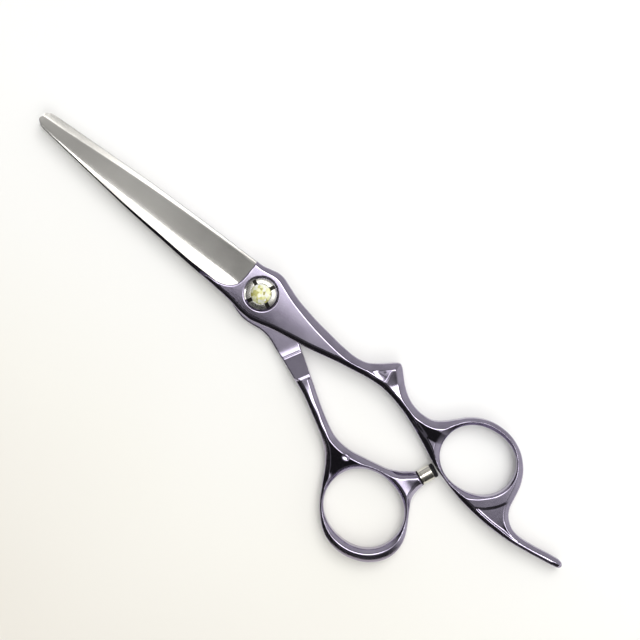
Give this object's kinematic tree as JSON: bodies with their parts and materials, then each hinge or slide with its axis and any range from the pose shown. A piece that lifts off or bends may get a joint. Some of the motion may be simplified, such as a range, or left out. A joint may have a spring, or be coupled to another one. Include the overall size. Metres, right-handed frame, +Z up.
{
  "type": "hairdressing shears",
  "caption": "Offset-handle hairdressing shears with a fixed finger rest, a slotted tension dial set with a faceted stone and a screw-in bumper.",
  "frame": {"origin": "on the pivot axis, on the plane the shears lie on, at the flush head of the pivot bolt", "axes": "+Z up from the resting plane along the pivot axis, +X to the blade tips, +Y to the thumb ring"},
  "size_m": [0.1748, 0.0508, 0.007],
  "materials": {
    "coated_steel": "purple titanium-like coating, satin with polished rounded edges",
    "blade_steel": "ground and polished",
    "bare_steel": "satin",
    "dial_steel": "turned and polished",
    "sleeve_steel": "drawn and polished",
    "bearing_plastic": "moulded",
    "bushing_brass": "turned",
    "stone": "cut and polished",
    "bumper_rubber": "satin"
  },
  "bodies": {
    "finger": {"finger_lever": "coated_steel", "pivot_bushing": "bushing_brass", "wave_spring": "bare_steel"},
    "thumb": {"thumb_lever": "coated_steel", "pivot_bolt": "bare_steel", "thrust_washer": "bearing_plastic", "click_plate": "bare_steel", "bumper_stud": "bare_steel", "bumper_washer": "bumper_rubber", "bumper_sleeve": "sleeve_steel", "bumper_pad": "bumper_rubber"},
    "dial": {"tension_dial": "dial_steel", "jewel": "stone"}
  },
  "joints": [
    {"name": "blade_pivot", "type": "hinge", "parent": "finger", "child": "thumb", "pos_m": [0, 0, 0], "axis": [0, 0, -1], "range_deg": [-0.2, 80]},
    {"name": "dial_turn", "type": "hinge", "parent": "thumb", "child": "dial", "pos_m": [0, 0, 0], "axis": [0, 0, 1], "range_deg": [-180, 180]}
  ]
}
